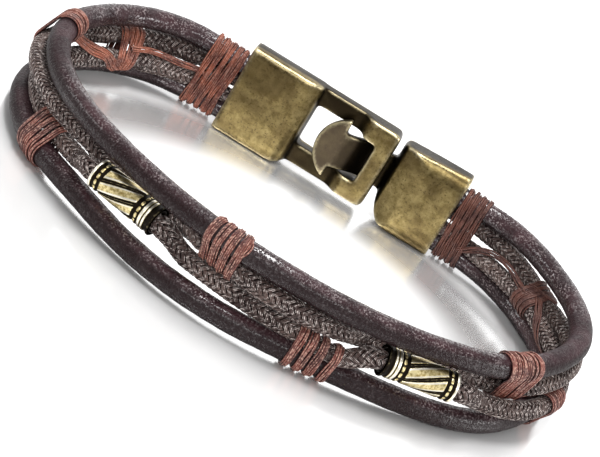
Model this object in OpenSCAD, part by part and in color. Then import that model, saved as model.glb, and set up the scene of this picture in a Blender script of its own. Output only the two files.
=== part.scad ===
// Four-strand bracelet: two smooth leather cords and two braided cords, one above
// the other, bound with waxed thread and joined by a cast hook clasp.
// It lies on its edge on a flat surface. Millimetres, Z up, clasp at +Y.

/* [Cords] */
// Diameter of the smooth leather cords
leather_d = 3.0; // [2:0.1:3.2]
// Diameter of the braided cords
braid_d = 2.3; // [1.8:0.1:2.3]
// Longest flat facet along a cord
facet = 2.6; // [2.4:0.1:4]

/* [Thread] */
// Free space between a cord and the thread round it
thread_gap = 0.12; // [0.1:0.02:0.2]
// Depth of a layer of thread
thread_t = 0.36; // [0.3:0.02:0.4]

/* [Clasp] */
// Height of both clasp sockets
clasp_h = 13.5; // [13:0.1:14.5]
// Inner face of the clasp, towards the wrist
clasp_front = 23.7; // [23.3:0.1:23.9]
// Outer face of the clasp
clasp_back = 28.8; // [28.7:0.1:29.6]
// Half length of the clasp when it is fastened
clasp_half = 17.5; // [17:0.1:18]

/* [Beads] */
// Outer diameter of the drum beads
bead_d = 4; // [3.9:0.02:4.04]
// Length of the drum beads
bead_len = 9.3; // [8.5:0.1:9.5]
// Bore of the drum beads, which takes the lower braided cord
bead_bore = 2.8; // [2.76:0.02:3]

/* [Hidden] */
$fn = 64;

// How far the middle of the clasp stands to the right of the whole loop's middle.
clasp_x = 0.52;
// Plan of the loop: control points, clockwise from the middle of the clasp.
loop = [
    [0, 26.1], [8.8, 26.1], [17.6, 26.1], [26.6, 25], [33.5, 18.7], [38.4, 11.4],
    [39.6, 2.4], [37, -6.2], [32.4, -14], [25.4, -19.7], [17.3, -23.5], [8.7, -25.8],
    [-0.1, -27.3], [-8.9, -25.9], [-17.2, -22.6], [-25.1, -18.5], [-32.1, -12.8],
    [-37.2, -5.4], [-39.6, 3.3], [-38.6, 12.2], [-34.4, 20.3], [-26.8, 26.1],
    [-17.8, 26.1], [-9, 26.1]
];
// Each cord's distance outside that plan, from the top cord down.
side = [
    [0, 0, 0, -0.1, -0.4, -0.4, -0.35, -0.5, -0.25, 0.1, 0.45, 0.55,
     0.2, 0.55, 0.55, 0.35, 0.15, -0.65, -1.05, -0.9, -0.55, 0, 0, 0],
    [0.5, 0.5, 0.5, 0.65, 0.45, 0.45, 0.35, 0.35, -1.05, -3.85, -3.05, 1.3,
     0.75, -1.35, -2.6, -1.7, 0.65, 0.75, 0.85, 0.6, 0.4, 0.55, 0.5, 0.5],
    [-0.5, -0.5, -0.4, -0.95, -1.85, -1.3, 0.35, 1.6, 1, 0, 1.7, 0,
     -0.8, -1.25, -0.45, -0.9, -0.4, -0.3, -0.7, -1.7, -2.25, -0.95, -0.5, -0.5],
    [0.4, 0.4, 0.4, 0.8, 0.9, 0, -0.5, -0.45, 0.05, -0.3, -0.65, -0.75,
     -0.15, 0.55, 0.65, 0.15, 1.35, 0.75, 0.25, 0.2, 0.8, 0.7, 0.4, 0.4]
];
// Each cord's height.
lift = [
    [9.75, 9.75, 9.75, 10.3, 10.35, 10.25, 10.2, 10.25, 10.05, 10.3, 10.45, 10.5,
     10.9, 10.6, 10.45, 10.25, 10.15, 10.05, 9.8, 9.6, 9.9, 10.25, 9.75, 9.75],
    [7.05, 7.05, 7.05, 7.45, 5.95, 6.35, 7.6, 7.2, 6.45, 6, 6.5, 7.9,
     8, 7.8, 7.4, 7.4, 7.35, 7.4, 6.95, 6.25, 5.8, 7.25, 7.05, 7.05],
    [4.85, 4.85, 4.85, 4.1, 5.1, 4.45, 4.8, 4.2, 4.4, 6.1, 3.85, 4.95,
     4.85, 4.95, 4.55, 4.8, 4.2, 4.7, 4.35, 3.7, 3.8, 4.2, 4.85, 4.85],
    [2.25, 2.25, 2.2, 1.85, 1.45, 1.7, 1.9, 2.2, 1.45, 1.6, 1.95, 2.1,
     2.05, 1.85, 1.7, 2.15, 2, 2.1, 1.65, 1.6, 1.5, 1.85, 2.25, 2.25]
];
laps = len(loop);
// Length of cord from one control point to the next.
pitch = 8.9;

// The beads, right one first: where each sits on the loop, its distance outside
// the plan, its height and its turn in plan out of line with the loop.
beads = [[9.555, 0.7, 6.75, -4], [14.12, 0.5, 6.57, 8]];
// Half the loop's length that a bead holds straight, and where its hold ends.
held = 0.6;
loose = 1.15;
// The upper braided cord passes this far behind a bead's axis, at this height.
behind_bead = -3.26;
behind_z = 6.65;
// The lower braided cord runs through the bead this far below its axis.
in_bead = 0.15;

// Where the cords start and end on the loop, inside the clasp's pockets.
cord_span = [1.16, 22.86];
// Where each binding starts and ends, clockwise from the clasp.
clasp_right = [2.03, 2.5];
back_right = [3.78, 4.26];
turn_right = [6.5, 7.05];
front_d = [7.6, 8.33];
front_c = [10.56, 11.24];
front_b = [12.3, 12.92];
front_a = [15.66, 16.3];
turn_left = [17.95, 18.45];
back_left = [19.9, 20.33];
clasp_left = [21.4, 21.99];
// The bindings beside the clasp are this much thicker.
clasp_extra = 0.06;
// Outside of a bead: distance from its flared end, depth below its outer radius.
bead_profile = [
    [0, 0.08], [0.08, 0], [0.25, 0], [0.32, 0.2], [0.42, 0.06], [0.92, 0.06], [1, 0.22],
    [1.15, 0.14], [1.55, 0.14], [1.7, 0.27], [2.05, 0.27], [2.15, 0.17], [7.6, 0.17],
    [7.7, 0.28], [7.9, 0.28], [8, 0.14], [8.45, 0.14], [8.55, 0.27], [8.85, 0.27],
    [8.95, 0.1], [9.2, 0.1], [9.3, 0.2]
];
profile_len = 9.3;

// Clasp places: X from its middle, Y from the middle of the loop, Z from the floor.
wall = 0.5;
edge = 0.3;
pocket_z1 = 11.8;
pocket_r = 1.2;
block_x = -6.2;
rail_y = 25.8;
rail_z = [0.9, 13.1];
window_x = [-6.1, 1.4];
window_z = [3.8, 10.4];
notch_x = 3.6;
notch_z = [3.7, 10];
bar_x = 6.2;
bar_y = 24.6;
channel_y = 26.4;
hook_x = 7;
hook_z1 = 13.3;
neck_y = [26.6, 27.9];
neck_z = [4, 9.5];
head_y = [24.1, 25.4];
head_x = 1.1;
head_z = 6.9;
head_r = 5.1;
head_cut = -0.7;

function weights(f) = [
    pow(1 - f, 3) / 6,
    (3 * pow(f, 3) - 6 * pow(f, 2) + 4) / 6,
    (-3 * pow(f, 3) + 3 * pow(f, 2) + 3 * f + 1) / 6,
    pow(f, 3) / 6
];
function pick(list, i) = list[(i + laps) % laps];
function blend4(list, i, w) =
    pick(list, i - 1) * w[0] + pick(list, i) * w[1] + pick(list, i + 1) * w[2] + pick(list, i + 2) * w[3];
function at(list, t) = blend4(list, floor(t), weights(t - floor(t)));
function heading(t) = let(d = at(loop, t + 0.02) - at(loop, t - 0.02)) d / norm(d);
function outward(t) = let(d = heading(t)) [-d.y, d.x];
// A point of the section at t: s outwards from the plan, z up.
function place(t, s, z) = let(p = at(loop, t) + outward(t) * s) [p.x + clasp_x, p.y, z];

// Faces between rings of n points each, first ring to last.
function tube(rings, n, shut) = [
    for (i = [0:rings - (shut ? 1 : 2)]) for (j = [0:n - 1])
        let(a = i * n, b = ((i + 1) % rings) * n, k = (j + 1) % n)
        each [[a + j, a + k, b + k], [a + j, b + k, b + j]]
];

function leather(c) = c == 0 || c == 3;
// How firmly a bead holds the braided cords at t, from 0 to 1.
function hold(b, t) = let(x = max(0, min(1, (loose - abs(t - b[0])) / (loose - held)))) x * x * (3 - 2 * x);
function held_at(t) = max([for (b = beads) hold(b, t)]);
function radius(c) = (leather(c) ? leather_d : braid_d) / 2;
function speed(t) = norm(at(loop, t + 0.02) - at(loop, t - 0.02)) / 0.04;
// A bead's direction in plan.
function aim(b) = heading(b[0]) * cos(b[3]) + outward(b[0]) * sin(b[3]);
// How far outside the plan the line of a bead's axis is, beside t.
function beside(b, t) =
    (at(loop, b[0]) + outward(b[0]) * b[1] + aim(b) * speed(b[0]) * (t - b[0]) - at(loop, t)) * outward(t);
// A cord's middle at t, as a distance outside the plan and a height.
function free(c, t) = [at(side[c], t), at(lift[c], t)];
function nearest(t) = abs(t - beads[0][0]) < abs(t - beads[1][0]) ? beads[0] : beads[1];
function middle(c, t) =
    let(w = leather(c) ? 0 : held_at(t))
    w == 0 ? free(c, t) :
    let(b = nearest(t), s = beside(b, t))
    free(c, t) * (1 - w) + (c == 1 ? [s + behind_bead, behind_z] : [s, b[2] - in_bead]) * w;
// The place at angle a round a cord's middle, off outside its skin.
function skin(c, t, a, off) =
    let(m = middle(c, t), r = radius(c) + off)
    place(t, m.x + r * cos(a), m.y + r * sin(a));

// Stations along a cord, closer together where a bead's hold ends.
function stations(c, t0, t1) =
    let(
        holds = [-loose, -held, held, loose],
        ends = leather(c) ? [] : [for (b = beads) each [for (h = holds) b[0] + h]],
        spans = concat([t0], ends, [t1])
    )
    concat(
        [
            for (i = [0:len(spans) - 2])
                let(a = spans[i], b = spans[i + 1], k = max(4, ceil((b - a) * pitch / facet)))
                for (j = [0:k - 1]) a + (b - a) * j / k
        ],
        [t1]
    );

module cord(c, n) {
    ts = stations(c, cord_span[0], cord_span[1]);
    rings = [for (t = ts) [for (j = [0:n - 1]) skin(c, t, 360 * (j + 0.5) / n, 0)]];
    caps = [
        [for (j = [0:n - 1]) n - 1 - j],
        [for (j = [0:n - 1]) (len(ts) - 1) * n + j]
    ];
    polyhedron(points = [for (r = rings) each r], faces = concat(tube(len(ts), n, false), caps));
}

// The cord of the list that reaches furthest in direction d.
function reach(list, t, d, i = 0, best = -1, far = -1000) =
    i == len(list) ? best :
    let(v = middle(list[i], t) * d + radius(list[i]))
    v > far ? reach(list, t, d, i + 1, list[i], v) : reach(list, t, d, i + 1, best, far);
// One ring round the cords of the list, off away from them.
function around(list, t, off, n) = [
    for (j = [0:n - 1])
        let(a = 360 * (j + 0.5) / n)
        skin(reach(list, t, [cos(a), sin(a)]), t, a, off)
];

// A ribbed band of thread round some cords, over a span of the loop.
module wrap(list, span, turns, depth) {
    n = 18;
    long = span[1] - span[0];
    outer = [
        for (i = [0:2 * turns])
            around(list, span[0] + long * i / (2 * turns), thread_gap + depth * (i % 2 == 1 ? 1 : 0.6), n)
    ];
    inner = [for (i = [3:-1:0]) around(list, span[0] + long * i / 3, thread_gap, n)];
    rings = concat(outer, inner);
    polyhedron(points = [for (r = rings) each r], faces = tube(len(rings), n, true));
}

// A rectangle whose four corners are quarter ellipses: [rx, ry] from the low
// corner round against the clock.
function corner(cx, cy, rx, ry, a) = [for (k = [0:6]) [cx + rx * cos(a + 15 * k), cy + ry * sin(a + 15 * k)]];
function rounded(x0, y0, x1, y1, r) = concat(
    corner(x0 + r[0][0], y0 + r[0][1], r[0][0], r[0][1], 180),
    corner(x1 - r[1][0], y0 + r[1][1], r[1][0], r[1][1], 270),
    corner(x1 - r[2][0], y1 - r[2][1], r[2][0], r[2][1], 0),
    corner(x0 + r[3][0], y1 - r[3][1], r[3][0], r[3][1], 90)
);

// A front outline in X and Z, drawn through the depth of the clasp.
module front_cut(points) {
    translate([0, clasp_back + 1, 0]) rotate([90, 0, 0])
        linear_extrude(clasp_back - clasp_front + 2) polygon(points);
}
// A side outline in Y and Z, drawn through its length.
module side_cut(points) {
    translate([-clasp_half - 1, 0, 0]) rotate([90, 0, 90])
        linear_extrude(2 * clasp_half + 2) polygon(points);
}

// The pocket that the four cord ends are set into.
module socket(x0, x1) {
    r = [pocket_r, pocket_r];
    intersection() {
        side_cut(rounded(clasp_front + wall, wall, clasp_back - wall, pocket_z1, [r, r, r, r]));
        translate([x0, clasp_front, 0]) cube([x1 - x0, clasp_back - clasp_front, clasp_h]);
    }
}

// Plan of the frame: a full block, thinner rails set back and a bar across their end.
module frame_plan() {
    polygon(concat(
        corner(-clasp_half + edge, clasp_front + edge, edge, edge, 180),
        corner(block_x - 2.5, clasp_front + 2.2, 2.4, 2.2, 270),
        [
            [block_x, rail_y], [window_x[1] - 1.2, rail_y], [window_x[1] - 0.5, rail_y - 0.4],
            [window_x[1], bar_y + 0.3], [window_x[1] + 0.6, bar_y]
        ],
        corner(bar_x - 0.7, bar_y + 0.6, 0.7, 0.6, 270),
        [
            [bar_x, clasp_back - 1.2], [bar_x - 0.3, clasp_back - 0.8], [0, clasp_back - 0.5],
            [block_x, clasp_back - 0.2], [block_x - 2.8, clasp_back], [-clasp_half, clasp_back]
        ]
    ));
}

leather_tone = [0.17, 0.11, 0.12];
braid_tone = [0.25, 0.2, 0.2];
thread_tone = [0.5, 0.28, 0.22];
frame_tone = [0.52, 0.46, 0.28];
hook_tone = [0.5, 0.44, 0.27];
bead_tone = [0.62, 0.52, 0.28];

module clasp_frame() color(frame_tone) translate([clasp_x, 0, 0]) {
    small = [edge, edge];
    soft = [0.9, 0.9];
    difference() {
        intersection() {
            linear_extrude(clasp_h) frame_plan();
            side_cut(rounded(
                clasp_front, 0, clasp_back, clasp_h,
                [[0.6, 0.7], [2.4, 1.8], [2.4, 1.8], [0.6, 0.7]]
            ));
            union() {
                front_cut(rounded(-clasp_half, 0, block_x, clasp_h, [small, [3.4, 1.3], [1.6, 0.6], small]));
                front_cut(rounded(block_x - 1.3, rail_z[0], bar_x, rail_z[1], [small, soft, soft, small]));
            }
        }
        socket(-clasp_half - 1, block_x - 3.2);
        // The window that the hook's head passes through, and its notch.
        front_cut(rounded(
            window_x[0], window_z[0], window_x[1], window_z[1],
            [small, small / 3, small / 3, small]
        ));
        front_cut([
            [window_x[1] - 0.4, notch_z[0]], [notch_x, notch_z[0]],
            [notch_x, notch_z[1]], [window_x[1] - 0.4, notch_z[1]]
        ]);
        // The channel behind the bar where the hook's neck lies.
        translate([notch_x - 0.2, channel_y, notch_z[0]]) cube([bar_x, clasp_back, notch_z[1] - notch_z[0]]);
    }
}

// Plan of the hook's block, its inner corner swept back towards the bar.
module hook_plan() {
    polygon(concat(
        [
            [hook_x + 0.3, clasp_front + 1.9], [hook_x + 0.8, clasp_front + 1.2],
            [hook_x + 2, clasp_front + 0.5], [hook_x + 3.6, clasp_front + 0.1], [hook_x + 5.2, clasp_front]
        ],
        corner(clasp_half - edge, clasp_front + edge, edge, edge, 270),
        [
            [clasp_half, clasp_back], [hook_x + 4, clasp_back], [hook_x + 1, clasp_back - 0.3],
            [hook_x + 0.2, clasp_back - 0.6], [hook_x, clasp_back - 1], [hook_x, clasp_front + 2.5]
        ]
    ));
}

module clasp_hook() color(hook_tone) translate([clasp_x, 0, 0]) {
    difference() {
        intersection() {
            linear_extrude(clasp_h) hook_plan();
            side_cut(rounded(
                clasp_front, 0, clasp_back, hook_z1,
                [[1.3, 2.2], [2.2, 2], [2.4, 2.4], [1.5, 2.6]]
            ));
            front_cut(concat(
                corner(hook_x + 4, 5, 4, 5, 180),
                [[clasp_half, 0], [clasp_half, hook_z1], [hook_x + 1, hook_z1 - 0.7]],
                corner(hook_x + 0.8, hook_z1 - 1.5, 0.8, 0.8, 90)
            ));
        }
        socket(hook_x + 2.6, clasp_half + 1);
    }
    // The neck runs behind the bar and comes forward through the notch.
    translate([0, 0, neck_z[0]]) linear_extrude(neck_z[1] - neck_z[0]) polygon([
        [hook_x + 2, neck_y[0]], [notch_x - 0.2, neck_y[0]], [notch_x - 1, neck_y[0] - 0.4],
        [head_x - 0.9, head_y[0] + 0.3], [head_cut + 0.1, head_y[0]], [head_cut - 0.7, head_y[0]],
        [head_cut - 0.7, head_y[1]], [head_cut, head_y[1]], [head_x - 1, head_y[1] + 0.4],
        [notch_x - 1.3, neck_y[1] - 0.4], [notch_x - 0.5, neck_y[1]], [hook_x + 2, neck_y[1]]
    ]);
    // The half-moon head.
    difference() {
        translate([head_x, head_y[1], head_z]) rotate([90, 0, 0])
            cylinder(r = head_r, h = head_y[1] - head_y[0]);
        translate([head_cut, clasp_front, 0]) cube([2 * head_r, clasp_back - clasp_front, clasp_h]);
    }
}

// A drum bead on the lower braided cord: a plain barrel between rings of grains,
// with a ridge and a flared lip at one end and a rim at the other.
module bead(b, flip) {
    d = aim(b);
    h = bead_len / 2;
    bore = bead_bore / 2;
    outside = [for (q = bead_profile) [bead_d / 2 - q[1], h - q[0] * bead_len / profile_len]];
    translate(place(b[0], b[1], b[2])) rotate([0, 90, atan2(d.y, d.x) + (flip ? 180 : 0)])
        rotate_extrude() polygon(concat([[bore, -h], [bore, h]], outside));
}

module leather_cord_top() color(leather_tone) cord(0, 12);
module braided_cord_upper() color(braid_tone) cord(1, 10);
module braided_cord_lower() color(braid_tone) cord(2, 10);
module leather_cord_bottom() color(leather_tone) cord(3, 12);
module drum_bead_left() color(bead_tone) bead(beads[1], true);
module drum_bead_right() color(bead_tone) bead(beads[0], false);
module wrap_clasp_left() color(thread_tone) wrap([0, 1, 2, 3], clasp_left, 4, thread_t + clasp_extra);
module wrap_clasp_right() color(thread_tone) wrap([0, 1, 2, 3], clasp_right, 3, thread_t + clasp_extra);
module wrap_back_left() color(thread_tone) wrap([1, 2], back_left, 3, thread_t);
module wrap_back_right() color(thread_tone) wrap([1, 2], back_right, 3, thread_t);
module wrap_turn_left() color(thread_tone) wrap([0, 1], turn_left, 4, thread_t);
module wrap_turn_right() color(thread_tone) wrap([2, 3], turn_right, 4, thread_t);
module wrap_front_a() color(thread_tone) wrap([2, 3], front_a, 5, thread_t);
module wrap_front_b() color(thread_tone) wrap([0, 1], front_b, 5, thread_t);
module wrap_front_c() color(thread_tone) wrap([2, 3], front_c, 5, thread_t);
module wrap_front_d() color(thread_tone) wrap([0, 1], front_d, 5, thread_t);

leather_cord_top();
braided_cord_upper();
braided_cord_lower();
leather_cord_bottom();
clasp_frame();
clasp_hook();
drum_bead_left();
drum_bead_right();
wrap_clasp_left();
wrap_clasp_right();
wrap_back_left();
wrap_back_right();
wrap_turn_left();
wrap_turn_right();
wrap_front_a();
wrap_front_b();
wrap_front_c();
wrap_front_d();
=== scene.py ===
import math

import bmesh
import bpy
import numpy as np
from mathutils import Matrix, Vector


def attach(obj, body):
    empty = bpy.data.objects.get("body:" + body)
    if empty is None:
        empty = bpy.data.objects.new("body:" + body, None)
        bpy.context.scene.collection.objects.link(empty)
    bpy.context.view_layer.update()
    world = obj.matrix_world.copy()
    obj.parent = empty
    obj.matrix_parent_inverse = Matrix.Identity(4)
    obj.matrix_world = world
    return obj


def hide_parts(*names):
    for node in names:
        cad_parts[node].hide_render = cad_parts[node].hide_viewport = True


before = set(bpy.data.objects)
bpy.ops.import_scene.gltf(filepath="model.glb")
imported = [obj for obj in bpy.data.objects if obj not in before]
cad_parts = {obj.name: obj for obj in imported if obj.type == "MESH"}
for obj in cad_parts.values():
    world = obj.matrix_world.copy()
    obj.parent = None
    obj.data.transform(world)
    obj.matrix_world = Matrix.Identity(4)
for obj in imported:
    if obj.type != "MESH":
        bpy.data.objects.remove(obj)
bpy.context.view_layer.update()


# Camera. It stands in front of the bracelet and looks down at it, and is rolled about its
# view so that the clasp runs up to the left in the picture.
CAMERA_PLACE = (0.001199, -0.227752, 0.106359)
LENS = 117.6
LOOK_DOWN = math.radians(24.071)
ROLL = math.radians(31.566)
look = Vector((0, math.cos(LOOK_DOWN), -math.sin(LOOK_DOWN)))
level = Vector((1, 0, 0))
rise = level.cross(look)
camera_x = level * math.cos(ROLL) + rise * math.sin(ROLL)
camera_y = rise * math.cos(ROLL) - level * math.sin(ROLL)
camera = bpy.data.objects.new("camera", bpy.data.cameras.new("camera"))
bpy.context.collection.objects.link(camera)
camera.data.sensor_width = 36
camera.data.lens = LENS
camera.data.clip_start = 0.01
camera.location = CAMERA_PLACE
camera.rotation_mode = "QUATERNION"
camera.rotation_quaternion = Matrix((camera_x, camera_y, -look)).transposed().to_quaternion()
bpy.context.scene.camera = camera


# Leather cords. Round cut cowhide, dyed a purplish brown and polished: 3 mm thick,
# pebbled and shining on the straight stretches, smooth and dull round both turns.
# The top and bottom cords of the four run from clasp to clasp.
MM = 0.001
# Plan of the loop in millimetres: control points, clockwise from the middle of the clasp.
# A place on the loop is counted in these points and may lie between two of them.
LOOP = [
    [0, 26.1], [8.8, 26.1], [17.6, 26.1], [26.6, 25], [33.5, 18.7], [38.4, 11.4],
    [39.6, 2.4], [37, -6.2], [32.4, -14], [25.4, -19.7], [17.3, -23.5], [8.7, -25.8],
    [-0.1, -27.3], [-8.9, -25.9], [-17.2, -22.6], [-25.1, -18.5], [-32.1, -12.8],
    [-37.2, -5.4], [-39.6, 3.3], [-38.6, 12.2], [-34.4, 20.3], [-26.8, 26.1],
    [-17.8, 26.1], [-9, 26.1],
]
# How far outside that plan each cord's middle lies, from the top cord down.
SIDE = [
    [0, 0, 0, -0.1, -0.4, -0.4, -0.35, -0.5, -0.25, 0.1, 0.45, 0.55,
     0.2, 0.55, 0.55, 0.35, 0.15, -0.65, -1.05, -0.9, -0.55, 0, 0, 0],
    [0.5, 0.5, 0.5, 0.65, 0.45, 0.45, 0.35, 0.35, -1.05, -3.85, -3.05, 1.3,
     0.75, -1.35, -2.6, -1.7, 0.65, 0.75, 0.85, 0.6, 0.4, 0.55, 0.5, 0.5],
    [-0.5, -0.5, -0.4, -0.95, -1.85, -1.3, 0.35, 1.6, 1, 0, 1.7, 0,
     -0.8, -1.25, -0.45, -0.9, -0.4, -0.3, -0.7, -1.7, -2.25, -0.95, -0.5, -0.5],
    [0.4, 0.4, 0.4, 0.8, 0.9, 0, -0.5, -0.45, 0.05, -0.3, -0.65, -0.75,
     -0.15, 0.55, 0.65, 0.15, 1.35, 0.75, 0.25, 0.2, 0.8, 0.7, 0.4, 0.4],
]
# How high each cord's middle lies.
LIFT = [
    [9.75, 9.75, 9.75, 10.3, 10.35, 10.25, 10.2, 10.25, 10.05, 10.3, 10.45, 10.5,
     10.9, 10.6, 10.45, 10.25, 10.15, 10.05, 9.8, 9.6, 9.9, 10.25, 9.75, 9.75],
    [7.05, 7.05, 7.05, 7.45, 5.95, 6.35, 7.6, 7.2, 6.45, 6, 6.5, 7.9,
     8, 7.8, 7.4, 7.4, 7.35, 7.4, 6.95, 6.25, 5.8, 7.25, 7.05, 7.05],
    [4.85, 4.85, 4.85, 4.1, 5.1, 4.45, 4.8, 4.2, 4.4, 6.1, 3.85, 4.95,
     4.85, 4.95, 4.55, 4.8, 4.2, 4.7, 4.35, 3.7, 3.8, 4.2, 4.85, 4.85],
    [2.25, 2.25, 2.2, 1.85, 1.45, 1.7, 1.9, 2.2, 1.45, 1.6, 1.95, 2.1,
     2.05, 1.85, 1.7, 2.15, 2, 2.1, 1.65, 1.6, 1.5, 1.85, 2.25, 2.25],
]
# How far the middle of the clasp stands to the right of the whole loop's middle.
CLASP_X = 0.52
# Each bead, right one first: its place on the loop, how far outside the plan and how
# high its middle is, and how many degrees it is turned in plan.
BEADS = [(9.555, 0.7, 6.75, -4), (14.12, 0.5, 6.57, 8)]
# Nearer to a bead than the first of these the braids run straight, past the second free.
BEAD_HELD = 0.6
BEAD_LOOSE = 1.15
# Where the upper braid passes behind a bead, and how far the lower one sags inside it.
BEHIND_BEAD = -3.26
BEHIND_Z = 6.65
IN_BEAD = 0.15
# The cords' ends, inside the clasp.
CORD_START = 1.16
CORD_END = 22.86
TOP, UPPER, LOWER, BOTTOM = range(4)
CORD_RADIUS = [1.5, 1.15, 1.15, 1.5]
# Step along the loop over which a direction is measured, to both sides.
STEP = 0.02


def along_loop(values, t):
    """Smooth value of a list given at the loop's control points, for an array of places t."""
    values = np.asarray(values, float)
    i = np.floor(t).astype(int)
    f = t - i
    weights = (
        (1 - f) ** 3 / 6,
        (3 * f**3 - 6 * f**2 + 4) / 6,
        (-3 * f**3 + 3 * f**2 + 3 * f + 1) / 6,
        f**3 / 6,
    )
    total = 0
    for k, w in enumerate(weights):
        picked = values[(i + k - 1) % len(values)]
        total = total + (picked.T * w).T
    return total


def travel(t):
    return along_loop(LOOP, t + STEP) - along_loop(LOOP, t - STEP)


def heading(t):
    """Direction of the loop in plan at places t."""
    way = travel(t)
    return way / np.linalg.norm(way, axis=-1, keepdims=True)


def outward(t):
    """Direction away from the wrist in plan at places t."""
    ahead = heading(t)
    return np.stack([-ahead[..., 1], ahead[..., 0]], -1)


def smooth(x):
    """Eases from 0 to 1 as x goes from 0 to 1."""
    x = np.clip(x, 0, 1)
    return x * x * (3 - 2 * x)


def bead_axis(bead):
    """A bead's middle and its direction in plan."""
    place, beside, _, turn = bead
    here = np.array([place])
    ahead = heading(here)[0]
    out = outward(here)[0]
    turn = math.radians(turn)
    return along_loop(LOOP, here)[0] + out * beside, ahead * math.cos(turn) + out * math.sin(turn)


def middle(cord, t):
    """A cord's middle at places t: distance outside the plan, height."""
    free = np.stack([along_loop(SIDE[cord], t), along_loop(LIFT[cord], t)], -1)
    if cord in (TOP, BOTTOM):
        return free
    for bead in BEADS:
        place, _, height, _ = bead
        hold = smooth((BEAD_LOOSE - abs(t - place)) / (BEAD_LOOSE - BEAD_HELD))[..., None]
        pace = np.linalg.norm(travel(np.array([place]))) / (2 * STEP)
        centre, ahead = bead_axis(bead)
        line = centre + ahead * pace * (t - place)[..., None] - along_loop(LOOP, t)
        offset = (line * outward(t)).sum(-1)
        if cord == UPPER:
            held = np.stack([offset + BEHIND_BEAD, np.full_like(offset, BEHIND_Z)], -1)
        else:
            held = np.stack([offset, np.full_like(offset, height - IN_BEAD)], -1)
        free = free * (1 - hold) + held * hold
    return free


def on_section(t, section):
    """Points at places t of the loop, from (distance outside the plan, height) there."""
    flat = along_loop(LOOP, t) + outward(t) * section[..., :1]
    return np.concatenate([flat + [CLASP_X, 0], section[..., 1:]], -1) * MM


class Course:
    """A cord's middle line, measured by its length in millimetres."""

    def __init__(self, cord):
        self.t = np.linspace(CORD_START, CORD_END, 6000)
        self.points = on_section(self.t, middle(cord, self.t))
        steps = np.linalg.norm(np.diff(self.points, axis=0), axis=1)
        self.s = np.concatenate([[0], np.cumsum(steps)]) / MM
        self.length = self.s[-1]
        self.out = np.pad(outward(self.t), ((0, 0), (0, 1)))
        self.ahead = np.gradient(self.points, axis=0)
        self.ahead /= np.linalg.norm(self.ahead, axis=1, keepdims=True)
        self.up = np.cross(self.out, self.ahead)
        self.up *= np.sign(self.up[:, 2:])
        self.radius = CORD_RADIUS[cord]

    def read(self, table, s):
        """Rows of a table with a row for each of the line's points, at lengths s."""
        return np.stack([np.interp(s, self.s, table[:, k]) for k in range(3)], -1)

    def place(self, s):
        """Places on the loop at lengths s."""
        return np.interp(s, self.s, self.t)

    def around(self, s, angle, r):
        """The point r mm from the middle line at length s, angle turned up from outwards."""
        turned = self.read(self.out, s) * np.cos(angle)[..., None]
        turned = turned + self.read(self.up, s) * np.sin(angle)[..., None]
        return self.read(self.points, s) + turned * (np.asarray(r) * MM)[..., None]


COURSES = [Course(cord) for cord in (TOP, UPPER, LOWER, BOTTOM)]


def new_object(name, bm, material):
    """Makes an object of bm, smooth and of one material, that rides on the bracelet."""
    mesh = bpy.data.meshes.new(name)
    for face in bm.faces:
        face.smooth = True
    bm.to_mesh(mesh)
    bm.free()
    mesh.materials.append(material)
    piece = bpy.data.objects.new(name, mesh)
    bpy.context.collection.objects.link(piece)
    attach(piece, "root")
    return piece


# Metres: points nearer to each other than this are one.
WELD = 1e-7


def roll(bm, rings, sides, shape, closed=False):
    """Rolls a flat grid into a tube in bm. shape(u, v) gives the points at u along the
    tube and v round it, both from 0 to 1. The ends are capped unless closed joins them."""
    bm.loops.layers.uv.verify()
    made = bmesh.ops.create_grid(
        bm, x_segments=rings, y_segments=sides, size=0.5, calc_uvs=True
    )["verts"]
    flat = np.array([vert.co[:2] for vert in made]) + 0.5
    points = shape(flat[:, 0], flat[:, 1])
    for vert, point in zip(made, points.tolist()):
        vert.co = point
    from_edge = np.minimum(flat, 1 - flat).min(axis=1)
    seams = [vert for vert, gap in zip(made, from_edge) if gap < 1e-5]
    bmesh.ops.remove_doubles(bm, verts=seams, dist=WELD)
    if not closed:
        ends = [e for vert in seams if vert.is_valid for e in vert.link_edges if e.is_boundary]
        bmesh.ops.holes_fill(bm, edges=list(dict.fromkeys(ends)), sides=0)
    return made


class Sock:
    """A shader socket that adds up with numbers and other sockets."""

    def __init__(self, graph, out):
        self.graph = graph
        self.out = out

    def math(self, op, *others, swap=False):
        ins = [self, *others]
        if swap:
            ins.reverse()
        return self.graph.node("ShaderNodeMath", {"operation": op}, dict(enumerate(ins)))

    def __add__(self, other):
        return self.math("ADD", other)

    __radd__ = __add__

    def __mul__(self, other):
        return self.math("MULTIPLY", other)

    __rmul__ = __mul__

    def __sub__(self, other):
        return self.math("SUBTRACT", other)

    def __rsub__(self, other):
        return self.math("SUBTRACT", other, swap=True)

    def top(self, other):
        """The greater of the two."""
        return self.math("MAXIMUM", other)

    def sine(self):
        return self.math("SINE")

    def size(self):
        return self.math("ABSOLUTE")


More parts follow.
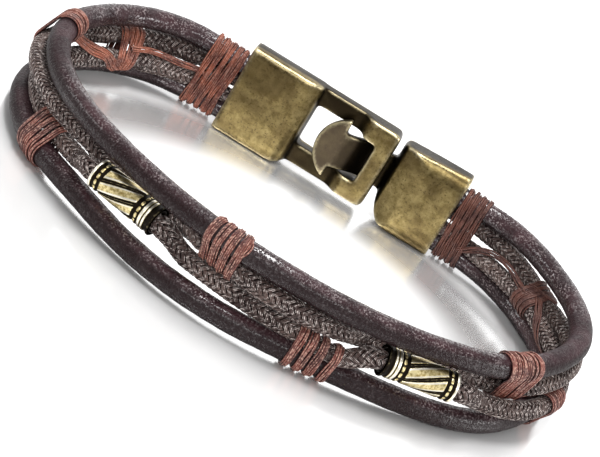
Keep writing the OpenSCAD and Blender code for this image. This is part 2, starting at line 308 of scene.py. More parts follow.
class Finish:
    """A material built up from its nodes."""

    def __init__(self, name, **shader):
        self.material = bpy.data.materials.new(name)
        self.material.use_nodes = True
        self.tree = self.material.node_tree
        self.shader = self.tree.nodes["Principled BSDF"]
        for key, value in shader.items():
            self.shader.inputs[key.replace("_", " ")].default_value = value

    def node(self, kind, settings, values, out=0):
        """A node of some kind, its settings first and then its sockets' values or links."""
        made = self.tree.nodes.new(kind)
        for key, value in settings.items():
            setattr(made, key, value)
        for key, value in values.items():
            socket = made.inputs[key]
            if isinstance(value, Sock):
                self.tree.links.new(value.out, socket)
            else:
                socket.default_value = value
        return Sock(self, made.outputs[out])

    def where(self, name="Object"):
        """Place on the piece, or with "UV" along and round its surface."""
        return self.node("ShaderNodeTexCoord", {}, {}, name)

    def noise(self, at, scale, detail=4, rough=0.5):
        return self.node(
            "ShaderNodeTexNoise", {}, {"Vector": at, "Scale": scale, "Detail": detail, "Roughness": rough}
        )

    def scaled(self, at, factors):
        return self.node("ShaderNodeVectorMath", {"operation": "MULTIPLY"}, {0: at, 1: factors})

    def split(self, at):
        return [self.node("ShaderNodeSeparateXYZ", {}, {0: at}, k) for k in range(3)]

    def spread(self, value, low, high, to_low=0.0, to_high=1.0):
        """A value between low and high spread over to_low to to_high, smoothly."""
        return self.node(
            "ShaderNodeMapRange",
            {"interpolation_type": "SMOOTHSTEP"},
            {"Value": value, "From Min": low, "From Max": high, "To Min": to_low, "To Max": to_high},
        )

    def mix(self, factor, a, b):
        """Colour a where the factor is 0 and colour b where it is 1."""
        return self.node("ShaderNodeMix", {"data_type": "RGBA"}, {0: factor, 6: a, 7: b}, 2)

    def bump(self, height, distance, strength, after=None):
        values = {"Height": height, "Distance": distance, "Strength": strength}
        if after is not None:
            values["Normal"] = after
        return self.node("ShaderNodeBump", {}, values)

    def set(self, socket, value):
        self.tree.links.new(value.out, self.shader.inputs[socket])


def tone(r, g, b):
    """A colour given as it looks on a screen, 0 to 255."""
    return tuple(
        (c / 255 / 12.92 if c < 10.3 else ((c / 255 + 0.055) / 1.055) ** 2.4) for c in (r, g, b)
    )


def leather_finish():
    f = Finish("dyed_leather", Coat_Roughness=0.17, Specular_IOR_Level=0.2)
    at = f.where()
    along, turned, _ = f.split(f.where("UV"))
    # Both turns of the cords are dull and smooth; the front and back are polished.
    from_front = (along - 0.5).size()
    straight = f.spread(from_front, 0.17, 0.22, 1.0, 0.1) + f.spread(from_front, 0.29, 0.34, 0.0, 0.9)
    pebbles = f.node(
        "ShaderNodeTexVoronoi", {"feature": "SMOOTH_F1"}, {"Vector": at, "Scale": 3000, "Smoothness": 0.3}
    )
    grain = f.noise(at, 4000, 2, 0.6)
    patches = f.noise(at, 240, 3)
    shade = f.spread(patches, 0.35, 0.7)
    body = f.mix(shade, (*tone(33, 15, 19), 1), (*tone(58, 36, 40), 1))
    # Each cord is polished and worn by use on its crown and the inside of the loop; there its
    # pale flecks are partly wear and partly painted highlights, and its underside is painted
    # dark as shade.
    lit_crown = f.spread(((turned - 0.08) * (2 * math.pi)).sine(), -0.1, 0.55)
    body = f.mix(lit_crown, (*tone(27, 12, 14), 1), body)
    clumps = f.spread(f.noise(at, 460, 2), 0.38, 0.6, 0.15, 1.0)
    wear_and_light = f.spread(grain, 0.51, 0.63) * clumps * (straight * (lit_crown * 0.34 + 0.05))
    f.set("Base Color", f.mix(wear_and_light, body, (*tone(180, 166, 166), 1)))
    f.set("Roughness", f.spread(grain, 0.38, 0.6, 0.44, 0.24) + (1.0 - straight) * 0.28)
    f.set("Coat Weight", f.spread(grain, 0.46, 0.58) * (straight * (lit_crown * 0.8 + 0.2)))
    rough = f.bump(pebbles, 0.00004, 0.8)
    f.set("Normal", f.bump(grain * (straight * 0.85 + 0.1), 0.00012, 0.9, rough))
    return f.material


LEATHER = leather_finish()
# Rings along a leather cord and points round it.
LEATHER_RINGS = 720
LEATHER_SIDES = 28


def leather_cord(name, cord):
    course = COURSES[cord]

    def shape(u, v):
        s = u * course.length
        angle = 2 * math.pi * v
        # The cord is cut by hand: its thickness and roundness wander a little.
        r = course.radius * (
            1
            + 0.008 * np.sin(0.9 * s + 3 * cord)
            + 0.006 * np.sin(2.3 * s + 2 * angle)
            + 0.004 * np.sin(5.1 * s - 3 * angle + cord)
        )
        return course.around(s, angle, r)

    bm = bmesh.new()
    roll(bm, LEATHER_RINGS, LEATHER_SIDES, shape)
    piece = new_object(name + "_hide", bm, LEATHER)
    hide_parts(name)


leather_cord("leather_cord_top", TOP)
leather_cord("leather_cord_bottom", BOTTOM)


# Braided cords. Waxed cotton, plaited by machine from 16 flat ends of three yarns each
# that go over two and under two, so that chevrons of small stitches run along them.
# The upper cord passes behind both beads and the lower one runs through them.
ENDS = 16
# Millimetres of cord for one turn of an end round it.
LAY = 6.6
END_WIDTH = 0.6
END_DEPTH = 0.26
# How far an end goes in and out from the middle of the weave.
WEAVE_DEPTH = 0.1
# Millimetres along the cord from ring to ring of an end, points round it, and how far
# ahead its direction is measured.
END_RING = 0.225
END_SIDES = 6
LOOK_AHEAD = 0.02
# Between these places on the loop a braid is held by the clasp, a binding or a bead.
HELD = {
    UPPER: [
        (0, 2.5), (3.78, 4.26), (7.6, 8.33), (8.85, 10.25), (12.3, 12.9), (13.45, 14.8),
        (17.95, 18.45), (19.9, 20.33), (21.4, 23),
    ],
    LOWER: [
        (0, 2.5), (3.78, 4.26), (6.5, 7.05), (9.06, 10.05), (10.56, 11.24), (13.62, 14.62),
        (15.66, 16.3), (19.9, 20.33), (21.4, 23),
    ],
}
# How many millimetres each braid fills out where it is free, by places on the loop.
FULL = {
    UPPER: ([18.6, 18.8], [0.12, 0.3]),
    LOWER: (
        [8.6, 8.85, 10.2, 10.4, 13.25, 13.45, 14.75, 14.95, 18.6, 18.8],
        [0.12, 0.28, 0.28, 0.12, 0.12, 0.28, 0.28, 0.12, 0.12, 0.3],
    ),
}
# Way along the loop over which it fills out.
FILLING = 0.14


def braid_finish():
    f = Finish("waxed_cotton_braid", Roughness=0.5, Specular_IOR_Level=0.3)
    at = f.where()
    uv = f.where("UV")
    _, turned, _ = f.split(uv)
    # Three yarns lie side by side across each end.
    across = (turned * (2 * math.pi)).math("COSINE")
    yarns = ((across + 1.0) * (1.5 * math.pi)).sine().size()
    fibres = f.noise(f.scaled(uv, (900.0, 12.0, 1.0)), 1.0, 3, 0.6)
    patches = f.noise(at, 320, 3)
    base = f.mix(f.spread(patches, 0.35, 0.7), (*tone(66, 50, 47), 1), (*tone(106, 87, 81), 1))
    # The grooves between the yarns are painted dark as shade.
    base = f.mix(f.spread(yarns, 0.1, 0.6), (*tone(30, 20, 20), 1), base)
    # The yarns' crowns carry pale flecks, partly wax and partly painted highlights.
    wax_and_sheen = f.spread(f.noise(at, 2600, 3, 0.6), 0.48, 0.62) * f.spread(yarns, 0.5, 0.95) * 0.85
    f.set("Base Color", f.mix(wax_and_sheen, base, (*tone(222, 210, 204), 1)))
    f.set("Roughness", f.spread(fibres, 0.3, 0.7, 0.36, 0.6))
    f.set("Normal", f.bump(fibres, 0.00003, 0.7, f.bump(yarns, 0.00007, 1.0)))
    return f.material


BRAID = braid_finish()


def braided_cord(name, cord):
    course = COURSES[cord]
    bm = bmesh.new()
    half = ENDS // 2
    weave = course.radius - END_DEPTH / 2 - WEAVE_DEPTH

    def swell(s):
        """The braid fills out a little between the places where it is held."""
        t = course.place(s)
        free = np.ones_like(t)
        for start, end in HELD[cord]:
            free = np.minimum(free, smooth(np.maximum(start - t, t - end) / FILLING))
        return np.interp(t, *FULL[cord]) * free

    for k in range(ENDS):
        # Half of the ends wind one way and half the other.
        hand = 1 if k < half else -1
        first = 2 * math.pi * (k % half) / half

        def path(s):
            turn = hand * 2 * math.pi * s / LAY + first
            # Crossings come at whole numbers of count; over and under line up in
            # columns along the cord.
            count = hand * half * 2 * s / LAY + 2 * (k % half)
            over = np.clip(1.5 * np.cos(math.pi / 2 * (count - 0.5)), -1, 1)
            return turn, weave + swell(s) + hand * WEAVE_DEPTH * over

        def shape(u, v):
            s = u * course.length
            turn, r = path(s)
            here = course.around(s, turn, r)
            next_s = s + LOOK_AHEAD
            ahead = course.around(next_s, *path(next_s)) - here
            ahead /= np.linalg.norm(ahead, axis=1, keepdims=True)
            away = here - course.around(s, turn, np.zeros_like(s))
            away /= np.linalg.norm(away, axis=1, keepdims=True)
            across = np.cross(ahead, away)
            angle = 2 * math.pi * v[:, None]
            section = across * np.cos(angle) * END_WIDTH + away * np.sin(angle) * END_DEPTH
            return here + section / 2 * MM

        roll(bm, int(course.length / END_RING), END_SIDES, shape)
    piece = new_object(name + "_plait", bm, BRAID)
    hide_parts(name)


braided_cord("braided_cord_upper", UPPER)
braided_cord("braided_cord_lower", LOWER)


# Thread bindings. Brick red waxed thread, several fine strands laid side by side, wound
# tightly round two or all four cords in a few broad turns that stand a little apart.
STRAND = 0.26
# Strands lie this share of their thickness apart and this many millimetres above the
# skin, the middle ones of a bundle higher, and each rises over its neighbours in places.
STRAND_PITCH = 0.84
SKIN_GAP = 0.12
BUNDLE_RISE = 0.16
CROSSING_RISE = 0.12
# Millimetres from ring to ring of a strand, and points round it.
STRAND_RING = 0.22
STRAND_SIDES = 6
# A binding's line has this many points to a turn; it starts the first of these shares of
# a turn in and ends the second past the last whole turn.
TURN_POINTS = 80
STARTS_IN = 0.35
ENDS_PAST = 0.15
# A loose thread's line has this many steps from each point of its path to the next, and
# its corners are rounded over an odd number of them.
PATH_STEPS = 24
ROUNDED_STEPS = 19


def thread_finish():
    f = Finish("waxed_thread", Roughness=0.5)
    at = f.where()
    to_right, to_back, _ = f.split(at)
    uv = f.where("UV")
    _, turned, _ = f.split(uv)
    # The crown of each strand is painted pale, partly as rubbing and partly as a highlight, and its sides
    # are painted dark as shade.
    lit_crown = (turned * (2 * math.pi)).sine()
    fibres = f.noise(f.scaled(uv, (160.0, 5.0, 1.0)), 1.0, 3, 0.6)
    patches = f.noise(at, 520, 3)
    # The thread at the back is less worn, and painted brighter and more orange, partly as light falling on
    # it.
    back = f.spread(to_back, -0.005, 0.015)
    light = f.mix(back, (*tone(118, 63, 52), 1), (*tone(144, 79, 57), 1))
    dark = f.mix(back, (*tone(72, 30, 26), 1), (*tone(88, 40, 29), 1))
    base = f.mix(f.spread(patches, 0.35, 0.65), dark, light)
    # Towards the hook's end, at the back, it is painted darker as shade from the clasp.
    hook_shade = back * f.spread(to_right, 0.0, 0.025)
    base = f.mix(hook_shade * 0.75, base, (*tone(46, 20, 17), 1))
    base = f.mix(f.spread(lit_crown, -0.1, 0.75, 0.85, 0.0), base, (*tone(38, 14, 12), 1))
    rub = f.spread(f.noise(at, 3600, 2, 0.6), 0.46, 0.64) * (0.62 - back * 0.3 - hook_shade * 0.2)
    wear_and_light = f.spread(lit_crown, 0.45, 0.98) * rub
    f.set("Base Color", f.mix(wear_and_light, base, (*tone(208, 166, 148), 1)))
    f.set("Roughness", f.spread(fibres, 0.3, 0.7, 0.4, 0.62))
    f.set("Normal", f.bump(fibres, 0.00005, 0.9))
    return f.material


THREAD = thread_finish()


def strands(bm, points, away, count, rng):
    """Lays strands side by side in bm along points (metres), which lie on the skin
    below them; away is the way up from it."""
    s = np.concatenate([[0], np.cumsum(np.linalg.norm(np.diff(points, axis=0), axis=1))]) / MM
    ahead = np.gradient(points, axis=0)
    ahead /= np.linalg.norm(ahead, axis=1, keepdims=True)
    across = np.cross(ahead, away)
    across /= np.linalg.norm(across, axis=1, keepdims=True)
    away = np.cross(across, ahead)

    def read(table, u):
        return np.stack([np.interp(u * s[-1], s, table[:, k]) for k in range(3)], -1)

    for k in range(count):
        # Each strand wanders sideways, rises over its neighbours and has its own size.
        wander = rng.uniform(0, 6.28)
        rise = rng.uniform(0, 6.28)
        thick = rng.uniform(0.46, 0.55)
        reach = rng.uniform(0.03, 0.09)
        start = rng.uniform(0, 0.015)
        stop = rng.uniform(0.985, 1)

        def shape(u, v):
            u = start + (stop - start) * u
            here = u * s[-1]
            beside = (k - (count - 1) / 2) * STRAND * STRAND_PITCH
            bundle = BUNDLE_RISE * (1 - (2 * k / (count - 1) - 1) ** 2)
            over = CROSSING_RISE * (0.5 + 0.5 * np.sin(here * 0.55 + rise)) ** 3
            angle = 2 * math.pi * v
            side = beside + reach * np.sin(here * 0.8 + wander) + thick * STRAND * np.cos(angle)
            top = SKIN_GAP + bundle + over + thick * STRAND * np.sin(angle)
            offset = read(across, u) * side[:, None] + read(away, u) * top[:, None]
            return read(points, u) + offset * MM

        roll(bm, max(6, int(s[-1] / STRAND_RING)), STRAND_SIDES, shape)


def hull(cords, t, share):
    """Points a share of the way round the outline of some cords' sections at places t,
    counted from the top by the inside of the loop, and the way out there."""
    angles = math.pi / 2 + np.linspace(0, 2 * math.pi, 121)
    ways = np.stack([np.cos(angles), np.sin(angles)], -1)
    mids = np.stack([middle(cord, t) for cord in cords])
    radii = np.array([CORD_RADIUS[cord] for cord in cords])
    # The cord that reaches out furthest each way makes the outline there.
    furthest = (mids @ ways.T + radii[:, None, None]).argmax(0)
    points = []
    outs = []
    for i, (choice, part) in enumerate(zip(furthest, share)):
        line = mids[choice, i] + radii[choice][:, None] * ways
        walked = np.concatenate([[0], np.cumsum(np.linalg.norm(np.diff(line, axis=0), axis=1))])
        here = part % 1 * walked[-1]
        angle = np.interp(here, walked, angles)
        points.append([np.interp(here, walked, line[:, k]) for k in range(2)])
        outs.append([math.cos(angle), math.sin(angle)])
    return np.array(points), np.array(outs)


def in_space(t, points, outs):
    """Points of the cords' sections at places t, and the ways out there, in space."""
    way = np.pad(outward(t) * outs[:, :1], ((0, 0), (0, 1)))
    way[:, 2] = outs[:, 1]
    return on_section(t, points), way


def binding(name, cords, turns, count, seed, lean=0.0, squeeze=0.0, steps_inside=True):
    """Winds count strands round some cords, with a broad turn at each place of the loop
    in turns; the top of a turn is lean further along than its bottom, where the turns
    squeeze together. The thread steps from turn to turn on the inside of the loop or on
    the outside."""
    rng = np.random.default_rng(seed)
    bm = bmesh.new()
    step_at = 0.0 if steps_inside else 0.5
    start = step_at + STARTS_IN
    stop = step_at + len(turns) + ENDS_PAST
    share = np.linspace(start, stop, TURN_POINTS * len(turns))
    # Each turn lies still over the half that is seen and steps on over the other half.
    turn = np.floor(share - step_at).astype(int)
    part = smooth((share - step_at - turn) / 0.5)
    places = np.array([turns[0], *turns, turns[-1]])
    before = places[turn]
    after = places[np.minimum(turn + 1, len(turns))]
    t = before + (after - before) * part
    down = 0.5 - 0.5 * np.cos(2 * math.pi * share)
    t = t + (places.mean() - t) * squeeze * down + lean * (0.5 - down)
    points, outs = hull(cords, t, share)
    strands(bm, *in_space(t, points, outs), count, rng)
    piece = new_object(name + "_turns", bm, THREAD)
    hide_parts(name)


ALL = (TOP, UPPER, LOWER, BOTTOM)
binding("wrap_front_a", (LOWER, BOTTOM), [15.67, 15.8, 15.93, 16.06, 16.17], 4, 1, lean=0.1, squeeze=0.25)
binding("wrap_front_b", (TOP, UPPER), [12.382, 12.527, 12.672, 12.817], 5, 2)
binding("wrap_front_c", (LOWER, BOTTOM), [10.655, 10.85, 11.01, 11.17], 5, 3)
binding("wrap_front_d", (TOP, UPPER), [7.69, 7.82, 7.94, 8.06, 8.18, 8.27], 4, 4, lean=0.1, squeeze=0.35)
binding("wrap_turn_left", (TOP, UPPER), [18.0, 18.1, 18.2, 18.3, 18.4], 4, 5, steps_inside=False)
binding("wrap_turn_right", (LOWER, BOTTOM), [6.58, 6.7, 6.82, 6.95], 4, 6, steps_inside=False)
binding("wrap_back_left", (UPPER, LOWER), [19.92, 20.02, 20.12, 20.21], 5, 7, lean=0.2, steps_inside=False)
binding("wrap_back_right", (UPPER, LOWER), [3.85, 3.96, 4.07, 4.18], 4, 8, steps_inside=False)
binding("wrap_clasp_left", ALL, [21.46, 21.58, 21.7, 21.82, 21.92], 4, 9, lean=0.07, steps_inside=False)
binding("wrap_clasp_right", ALL, [2.09, 2.2, 2.31, 2.42], 4, 10, lean=-0.03, steps_inside=False)


def loose_thread(name, path, count, seed, cords=(UPPER, LOWER), lift=0.05):
    """Lays strands over the outline of some cords, lift mm clear of it, through pairs of
    a place on the loop and a share of the way round the cords."""
    rng = np.random.default_rng(seed)
    steps = np.linspace(0, len(path) - 1, PATH_STEPS * (len(path) - 1))
    corners = [np.interp(steps, np.arange(len(path)), column) for column in zip(*path)]
    # A running average rounds the corners of the path.
    window = np.hanning(ROUNDED_STEPS + 2)[1:-1]
    window /= window.sum()
    half = ROUNDED_STEPS // 2
    t, share = (np.convolve(np.pad(column, half, "edge"), window, "valid") for column in corners)
    points, outs = hull(cords, t, share)
    bm = bmesh.new()
    strands(bm, *in_space(t, points + outs * lift, outs), count, rng)
    new_object(name, bm, THREAD)


# Tails of the thread run on inside the loop from each small binding to the next.
LEFT_SAG = [
    (18.5, 0.05), (18.8, 0.12), (18.98, 0.19), (19.15, 0.24), (19.34, 0.28), (19.52, 0.32),
    (19.7, 0.38), (19.95, 0.44),
]
LEFT_RUN = [
    (20.05, 0.22), (20.39, 0.213), (20.68, 0.226), (21.06, 0.245), (21.41, 0.235), (21.55, 0.23),
]
RIGHT_RUN = [
    (2.35, 0.42), (2.5, 0.37), (2.71, 0.271), (2.93, 0.22), (3.19, 0.199), (3.45, 0.2),
    (3.85, 0.24), (3.95, 0.25),
]
RIGHT_DROP = [
    (4.1, 0.14), (4.26, 0.19), (4.58, 0.29), (4.81, 0.38), (5.01, 0.44), (5.4, 0.46),
    (5.9, 0.46), (6.4, 0.4),
]
RIGHT_TIE = [(3.8, 0.16), (3.92, 0.1), (4.1, 0.067), (4.24, 0.03), (4.34, 0.0)]
loose_thread("thread_left_sag", LEFT_SAG, 8, 11, lift=0.2)
loose_thread("thread_left_run", LEFT_RUN, 4, 12, lift=0.25)
loose_thread("thread_right_run", RIGHT_RUN, 4, 13)
loose_thread("thread_right_drop", RIGHT_DROP, 5, 14)
loose_thread("thread_right_tie", RIGHT_TIE, 3, 15)
# Two strands of a front binding have worked loose and stand off in a small loop.
FRONT_LOOP = [(12.4, 0.985), (12.34, 0.965), (12.3, 0.93), (12.3, 0.89), (12.32, 0.85), (12.4, 0.8)]
loose_thread("thread_front_loop", FRONT_LOOP, 2, 16, cords=(TOP, UPPER), lift=0.1)


# Drum beads. Cast brass-coloured tubes with an antique finish: a barrel of slanting
# raised panels, a ring of grains at each end, two ridges and a flared lip, painted dark
# partly as blackening and partly as shade; the bore is painted dark as shade.
BEAD_RADIUS = 2.0
BEAD_BORE = 1.4
BEAD_LENGTH = 9.6
# How much the bore widens at both mouths, and the share of its rings on each end face.
MOUTH_WIDER = 0.16
MOUTH_FACE = 0.06
OUTER_RINGS = 170
INNER_RINGS = 20
BEAD_SIDES = 224
# The panelled body between the rings of grains: its ends, measured from the flared end of
# the bead, its radius, and how far the panels turn round it in each millimetre.
BODY_START = 2.84
BODY_END = 8.02
BODY_RADIUS = 1.83
PANELS = 6
PANEL_TWIST = 1.1 / 4.9
PANEL_WIDTH = 2 * math.pi * BODY_RADIUS / PANELS
GRAINS = 13
GRAIN_RINGS = (2.19, 8.58)
# Outside of a bead: distance from its flared end, depth below the widest radius.
BEAD_OUTSIDE = [
    (0, 0.08), (0.06, 0.02), (0.18, 0), (0.3, 0.04), (0.42, 0.13), (0.6, 0.19), (0.78, 0.2), (0.86, 0.2),
    (0.92, 0.12), (0.98, 0.07), (1.14, 0.07), (1.2, 0.13), (1.25, 0.22), (1.32, 0.22), (1.38, 0.12),
    (1.46, 0.07), (1.66, 0.07), (1.76, 0.13), (1.82, 0.24), (1.92, 0.24), (1.98, 0.2), (2.4, 0.2),
    (2.46, 0.25), (2.56, 0.28), (2.8, 0.28), (2.88, 0.21), (3.0, 0.17), (7.9, 0.17), (8.0, 0.2),
    (8.08, 0.28), (8.26, 0.28), (8.32, 0.23), (8.36, 0.2), (8.8, 0.2), (8.86, 0.24), (8.94, 0.27),
    (9.14, 0.26), (9.2, 0.14), (9.27, 0.09), (9.45, 0.08), (9.54, 0.12), (9.6, 0.2),
]
# How much of its finish is rubbed bright at these distances, grains and panels apart; the flared lip at
# the start is kept dark, partly as blackening and partly as painted shade.
BEAD_RUBBED = [
    (0, 0.3), (0.2, 0.3), (0.3, 0.05), (0.88, 0.03), (0.94, 0.95), (1.16, 0.95), (1.24, 0), (1.32, 0),
    (1.4, 0.95), (1.7, 0.95), (1.8, 0), (2.0, 0.3), (2.4, 0.3), (2.5, 0), (2.8, 0), (7.9, 0), (8.06, 0),
    (8.3, 0.1), (8.4, 0.3), (8.75, 0.3), (8.85, 0), (9.18, 0), (9.26, 0.95), (9.6, 0.95),
]


def bead_finish():
    f = Finish("antique_brass", Metallic=1.0)
    at = f.where()
    height = f.node("ShaderNodeAttribute", {"attribute_name": "relief"}, {}, "Fac")
    mottle = f.noise(at, 2300, 3, 0.7)
    clean = f.spread(height + (mottle - 0.5) * 0.4, 0.28, 0.62)
    bright = f.mix(f.spread(mottle, 0.36, 0.62), (*tone(168, 146, 88), 1), (*tone(236, 220, 168), 1))
    bright = f.mix(f.spread(height, 0.75, 1.0), bright, (*tone(248, 244, 232), 1))
    f.set("Base Color", f.mix(clean, (*tone(30, 25, 20), 1), bright))
    f.set("Roughness", f.spread(clean, 0.0, 1.0, 0.6, 0.38))
    f.set("Normal", f.bump(f.noise(at, 2400, 3), 0.00002, 0.6))
    return f.material


BRASS = bead_finish()


def ridge(from_line, half_width):
    """1 on a line, rounding off to 0 at half_width from it."""
    return np.clip(1 - (from_line / half_width) ** 2, 0, 1)


def bead_wall(u):
    """Distance from the flared end and radius at share u of the way round a bead's wall,
    and whether that is in the bore."""
    out = u * (OUTER_RINGS + INNER_RINGS) / OUTER_RINGS
    back = np.clip((out - 1) * OUTER_RINGS / INNER_RINGS, 0, 1)
    outer_x = np.clip(out, 0, 1) * BEAD_LENGTH
    outer_r = BEAD_RADIUS - np.interp(outer_x, *zip(*BEAD_OUTSIDE))
    inner_x = BEAD_LENGTH * (1 - np.clip(back * (1 + 2 * MOUTH_FACE) - MOUTH_FACE, 0, 1))
    mouth = np.clip(1 - np.minimum(back, 1 - back) / 0.1, 0, 1)
    inner_r = BEAD_BORE + MOUTH_WIDER * mouth**2
    inner = out > 1
    return np.where(inner, inner_x, outer_x), np.where(inner, inner_r, outer_r), inner


def bead_relief(x, angle, first):
    """Height of the ornament in mm, and how much the finish is rubbed bright."""
    rise = np.zeros_like(x)
    bright = np.interp(x, *zip(*BEAD_RUBBED))
    # Rings of grains, longer round the bead than along it.
    for ring in GRAIN_RINGS:
        lump = abs(np.sin(angle * GRAINS / 2 + ring))
        grain = np.sqrt(np.clip(lump**0.8 * ridge(x - ring, 0.22), 0, 1))
        near = abs(x - ring) < 0.24
        rise = np.where(near, 0.13 * grain - 0.03, rise)
        bright = np.where(near, grain * 1.1 - 0.25, bright)
    # Slanting panels, hollowed along the middle, with a rib in a double groove between.
    on_body = np.clip(np.minimum(x - BODY_START, BODY_END - x) / 0.1, 0, 1)
    turned = angle - first - PANEL_TWIST * (x - (BODY_START + BODY_END) / 2)
    across = (PANELS * turned / (2 * math.pi)) % 1 * PANEL_WIDTH
    groove = np.maximum(ridge(across - 0.14, 0.12), ridge(across - 0.44, 0.12))
    rib = ridge(across - 0.29, 0.1)
    panel = np.clip((across - 0.52) / 0.1, 0, 1) * np.clip((PANEL_WIDTH - across) / 0.06, 0, 1)
    hollow = ridge(across - 1.2, 0.5)
    rise = rise + on_body * (0.045 * panel + 0.02 * rib - 0.1 * groove - 0.02 * hollow * panel)
    rub = 0.62 * panel + 0.34 * panel * (1 - hollow) + 0.4 * rib - 0.5 * groove
    return rise, bright * (1 - on_body) + rub * on_body


def drum_bead(name, bead, turned_round, first):
    """A bead with the middle and direction of a row of BEADS. Its flared end lies further
    along the loop unless it is turned round; its first panel starts at the angle first."""
    centre, ahead = bead_axis(bead)
    ahead = Vector((*ahead, 0)) * (-1 if turned_round else 1)
    up = Vector((0, 0, 1))
    side = up.cross(ahead)
    start = Vector((centre[0] + CLASP_X, centre[1], bead[2])) + ahead * BEAD_LENGTH / 2
    bm = bmesh.new()
    wear_and_light = bm.verts.layers.float.new("relief")
    marks = []

    def shape(u, v):
        x, r, inner = bead_wall(u)
        angle = 2 * math.pi * v
        rise, bright = bead_relief(x, angle, first)
        # The bore is painted dark as shade.
        marks.extend(np.where(inner, 0.0, bright).tolist())
        r = r + np.where(inner, 0, rise)
        along = np.array(start) - np.array(ahead) * x[:, None]
        ring = np.array(side) * np.cos(angle)[:, None] + np.array(up) * np.sin(angle)[:, None]
        return (along + ring * r[:, None]) * MM

    made = roll(bm, OUTER_RINGS + INNER_RINGS, BEAD_SIDES, shape, closed=True)
    for vert, mark in zip(made, marks):
        if vert.is_valid:
            vert[wear_and_light] = mark
    piece = new_object(name + "_cast", bm, BRASS)
    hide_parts(name)


drum_bead("drum_bead_left", BEADS[1], True, 0.05)
drum_bead("drum_bead_right", BEADS[0], False, 0.14)


# Clasp. Two hollow sockets cast in a bronze-toned metal with soft edges: the frame on
# the left with its window and bar, and the hook on the right with a half-moon head.
def bronze_finish(name, grey_before):
    """Antique bronze, greyer where x is less than grey_before, in metres."""
    f = Finish(name, Metallic=1.0)
    at = f.where()
    to_right, to_back, _ = f.split(at)
    wear_and_light = f.node("ShaderNodeAttribute", {"attribute_name": "standout"}, {}, "Fac")
    mottle = f.noise(at, 760, 6, 0.7)
    clouds = f.noise(at, 150, 3, 0.6)
    fine = f.noise(at, 2600, 3, 0.7)
    body = f.mix(f.spread(mottle, 0.3, 0.7), (*tone(98, 84, 50), 1), (*tone(146, 130, 88), 1))
    body = f.mix(f.spread(clouds, 0.38, 0.62, 0.7, 0.0), body, (*tone(78, 64, 40), 1))
    body = f.mix(f.spread(fine, 0.3, 0.46, 0.7, 0.0), body, (*tone(58, 46, 28), 1))
    grey = f.spread(to_right, grey_before - 0.001, grey_before, 0.85, 0.0)
    body = f.mix(grey, body, (*tone(72, 63, 54), 1))
    # Set-back parts are painted dark, partly as blackening and partly as the shade in the recess: they lie
    # between the front and the back faces.
    sunk = f.spread(to_back, 0.0249, 0.0255) * f.spread(to_back, 0.0274, 0.028, 1.0, 0.0)
    # Edges that stand out are painted pale, partly as rubbed metal and partly as a highlight.
    edge = f.spread(wear_and_light + (fine - 0.5) * 0.3, 0.52, 0.95)
    # Hollows below the surface round them are painted dark, partly as blackening and partly as shade.
    hollow = f.spread(wear_and_light + (mottle - 0.5) * 0.2, 0.15, 0.42, 1.0, 0.0)
    body = f.mix(edge, body, (*tone(222, 208, 168), 1))
    body = f.mix(hollow.top(sunk * (1.0 - edge * 0.4) * 0.92), body, (*tone(32, 26, 19), 1))
    f.set("Base Color", body)
    f.set("Roughness", f.spread(fine, 0.3, 0.7, 0.3, 0.44))
    uneven = f.bump(f.noise(at, 95, 2), 0.0016, 0.5)
    f.set("Normal", f.bump(fine, 0.00003, 0.8, uneven))
    return f.material


# Metres: points of the CAD mesh nearer to each other than the first are one, a casting's
# surface is rebuilt on a grid of the second, and an edge, rubbed and painted with a
# highlight, stands out by the third from the average of the surface round it.
CAD_WELD = 1e-6
CASTING_GRID = 0.00017
EDGE_HEIGHT = 0.00012
# Passes that round the edges of a casting, and that average its surface.
ROUNDING_PASSES = 18
AVERAGE_PASSES = 9


def cast_copy(name, material):
    """The CAD node again, its edges rounded as in a casting, and how far its surface stands out marked:
    for worn edges with a painted highlight, and hollows painted dark.
    """
    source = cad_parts[name]
    bm = bmesh.new()
    bm.from_mesh(source.data)
    bmesh.ops.remove_doubles(bm, verts=bm.verts, dist=CAD_WELD)
    bmesh.ops.recalc_face_normals(bm, faces=bm.faces)
    piece = new_object(name + "_cast", bm, material)
    piece.data.remesh_voxel_size = CASTING_GRID
    bpy.context.view_layer.objects.active = piece
    bpy.ops.object.voxel_remesh()
    bm = bmesh.new()
    bm.from_mesh(piece.data)
    for _ in range(ROUNDING_PASSES):
        bmesh.ops.smooth_vert(
            bm, verts=bm.verts, factor=0.5, use_axis_x=True, use_axis_y=True, use_axis_z=True
        )
    bm.normal_update()
    standout = bm.verts.layers.float.new("standout")
    # Edges stand out from the average of the surface round them, hollows lie below it.
    average = {vert: vert.co.copy() for vert in bm.verts}
    for _ in range(AVERAGE_PASSES):
        average = {
            vert: sum((average[e.other_vert(vert)] for e in vert.link_edges), Vector())
            / len(vert.link_edges)
            for vert in bm.verts
        }
    for vert in bm.verts:
        out = (vert.co - average[vert]).dot(vert.normal) / EDGE_HEIGHT
        vert[standout] = min(1, max(0, 0.45 + 0.5 * out))
    for face in bm.faces:
        face.smooth = True
    bm.to_mesh(piece.data)
    bm.free()
    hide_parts(name)


cast_copy("clasp_frame", bronze_finish("cast_bronze", -0.03))
# The head and neck of the hook are greyer than its socket.
cast_copy("clasp_hook", bronze_finish("cast_bronze_hook", 0.007))


# Table and lights. A pale glossy table in a plain white studio, with a lamp overhead,
# one in front, one at each side and a bright wall behind.
TABLE_HALF = 1.6
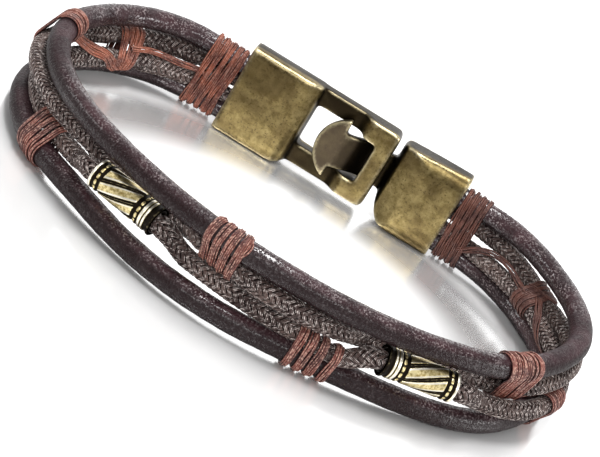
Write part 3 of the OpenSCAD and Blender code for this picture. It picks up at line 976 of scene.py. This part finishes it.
# Metres from the middle of the loop to its ends and to its front and back, inside.
LOOP_HALF_X = 0.037
LOOP_HALF_Y = 0.026
bm = bmesh.new()
bmesh.ops.create_grid(bm, x_segments=1, y_segments=1, size=TABLE_HALF)
table = bpy.data.meshes.new("floor")
bm.to_mesh(table)
bm.free()
floor = bpy.data.objects.new("floor", table)
bpy.context.collection.objects.link(floor)
white = Finish("white_table", Roughness=0.22)
# The gloss of the table fades out inside the loop and away from it.
to_right, to_back, _ = white.split(white.where())
to_right = to_right * (1 / LOOP_HALF_X)
to_back = to_back * (1 / LOOP_HALF_Y)
far = (to_right * to_right + to_back * to_back).math("SQRT")
white.set("Metallic", white.spread(far, 0.58, 0.86, 0.1, 0.75) - white.spread(far, 0.98, 1.12, 0.0, 0.4))
white.shader.inputs["Base Color"].default_value = (0.96, 0.96, 0.96, 1)
table.materials.append(white.material)

world = bpy.data.worlds.new("studio")
bpy.context.scene.world = world
world.use_nodes = True
world.node_tree.nodes["Background"].inputs["Color"].default_value = (1, 1, 1, 1)
world.node_tree.nodes["Background"].inputs["Strength"].default_value = 0.26
bpy.context.scene.view_settings.view_transform = "Standard"


def softbox(name, place, aim, size, power):
    """A rectangular lamp at a place in metres, aimed at another."""
    light = bpy.data.objects.new(name, bpy.data.lights.new(name, "AREA"))
    bpy.context.collection.objects.link(light)
    light.data.shape = "RECTANGLE"
    light.data.size, light.data.size_y = size
    light.data.energy = power
    light.location = place
    light.rotation_mode = "QUATERNION"
    light.rotation_quaternion = (Vector(aim) - Vector(place)).to_track_quat("-Z", "Y")


softbox("overhead", (-0.03, 0.0, 0.5), (0, 0, 0), (0.34, 0.1), 2.6)
softbox("front", (0.06, -0.5, 0.3), (0, 0, 0), (0.5, 0.12), 2.0)
softbox("right", (0.5, -0.02, 0.15), (0, 0.01, 0.005), (0.26, 0.16), 1.2)
softbox("left", (-0.5, -0.02, 0.2), (0, 0.01, 0.005), (0.2, 0.16), 0.6)
softbox("back_wall", (0, 0.75, 0.3), (0, 0, 0.1), (1.6, 0.7), 4.4)
